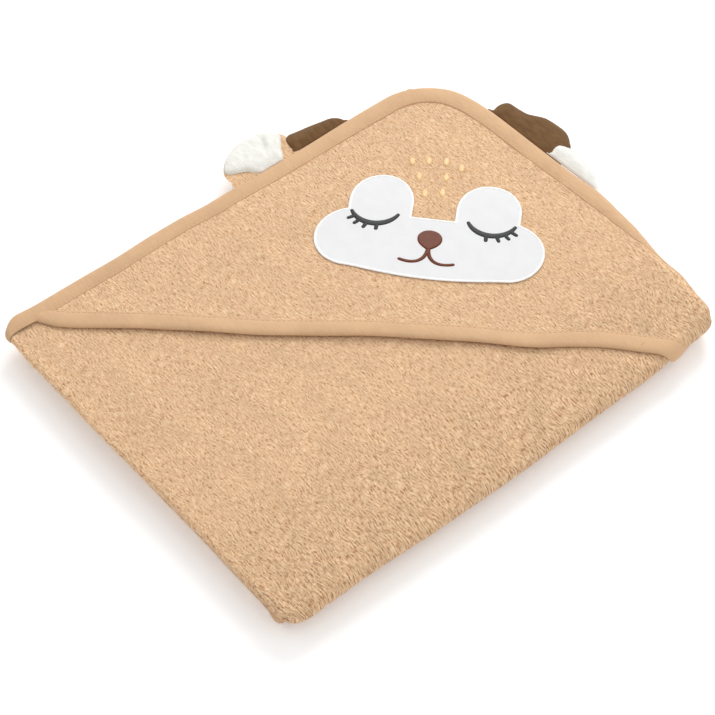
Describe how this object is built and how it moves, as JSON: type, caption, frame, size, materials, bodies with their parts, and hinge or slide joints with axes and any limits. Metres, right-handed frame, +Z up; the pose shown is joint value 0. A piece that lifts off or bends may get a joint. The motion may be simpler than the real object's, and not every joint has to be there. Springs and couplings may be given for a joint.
{
  "type": "hooded baby towel",
  "caption": "Terry baby towel with a hood across one corner, folded in a rectangle: tape-bound edges, an embroidered sleeping animal face, padded ears and antlers.",
  "frame": {"origin": "middle of the folded rectangle's underside, on the surface that the towel lies on", "axes": "+Z up from the surface; +Y along the long side of the folded rectangle, towards the edge with the right ear; +X from the hood's tip towards the round side fold"},
  "size_m": [0.2768, 0.3386, 0.0213],
  "materials": {
    "terry": "matte looped cotton terry, sand beige",
    "tape": "matte plain-weave cotton bias tape, sand beige",
    "applique": "smooth white brushed cotton",
    "satin": "white satin-stitch thread, soft sheen",
    "dark_thread": "charcoal embroidery thread, soft sheen",
    "brown_thread": "brown embroidery thread, soft sheen",
    "freckle_thread": "pale yellow embroidery thread, soft sheen",
    "plush": "short white plush",
    "twill": "brown cotton twill",
    "wadding": "loose polyester wadding"
  },
  "bodies": {
    "root": {"towel_middle_panel": "terry", "middle_tucked_hem_binding": "tape", "middle_top_hem_binding": "tape", "hood_wrapped_corner": "terry", "hood_wrapped_binding": "tape"},
    "back_stack": {"towel_back_panel": "terry", "back_tucked_hem_binding": "tape", "back_top_hem_binding": "tape", "back_side_binding": "tape"},
    "front_stack": {"towel_front_panel": "terry", "front_tucked_hem_binding": "tape", "front_side_binding": "tape", "hood_tip_edge_binding": "tape"},
    "hood": {"hood_panel": "terry", "hood_mouth_binding": "tape", "face_applique": "applique", "applique_satin_border": "satin", "left_eye_embroidery": "dark_thread", "right_eye_embroidery": "dark_thread", "nose_embroidery": "brown_thread", "mouth_embroidery": "brown_thread", "freckle_stitch_1": "freckle_thread", "freckle_stitch_2": "freckle_thread", "freckle_stitch_3": "freckle_thread", "freckle_stitch_4": "freckle_thread", "freckle_stitch_5": "freckle_thread", "freckle_stitch_6": "freckle_thread", "freckle_stitch_7": "freckle_thread", "freckle_stitch_8": "freckle_thread"},
    "left_ear": {"left_ear_front": "plush", "left_ear_back": "terry", "left_ear_wadding": "wadding"},
    "right_ear": {"right_ear_front": "plush", "right_ear_back": "terry", "right_ear_wadding": "wadding"},
    "left_antler": {"left_antler_front": "twill", "left_antler_back": "twill", "left_antler_wadding": "wadding"},
    "right_antler": {"right_antler_front": "twill", "right_antler_back": "twill", "right_antler_wadding": "wadding"}
  },
  "joints": [
    {"name": "side_fold", "type": "hinge", "parent": "root", "child": "front_stack", "pos_m": [0.125, 0, 0.01245], "axis": [0, 1, 0], "range_deg": [0, 178]},
    {"name": "back_fold", "type": "hinge", "parent": "root", "child": "back_stack", "pos_m": [-0.119, 0, 0.00615], "axis": [0, 1, 0], "range_deg": [0, 178]},
    {"name": "hood_lift", "type": "hinge", "parent": "front_stack", "child": "hood", "pos_m": [-0.125, 0.158, 0.018], "axis": [-0.7071, -0.7071, 0], "range_deg": [0, 20]},
    {"name": "left_ear_flop", "type": "hinge", "parent": "front_stack", "child": "left_ear", "pos_m": [-0.125, 0.0305, 0.0201], "axis": [0, 1, 0], "range_deg": [-15, 160]},
    {"name": "left_antler_flop", "type": "hinge", "parent": "front_stack", "child": "left_antler", "pos_m": [-0.125, 0.078, 0.0201], "axis": [0, 1, 0], "range_deg": [-15, 160]},
    {"name": "right_ear_flop", "type": "hinge", "parent": "front_stack", "child": "right_ear", "pos_m": [-0.007, 0.158, 0.0201], "axis": [1, 0, 0], "range_deg": [-15, 160]},
    {"name": "right_antler_flop", "type": "hinge", "parent": "front_stack", "child": "right_antler", "pos_m": [-0.054, 0.158, 0.0201], "axis": [1, 0, 0], "range_deg": [-15, 160]}
  ]
}
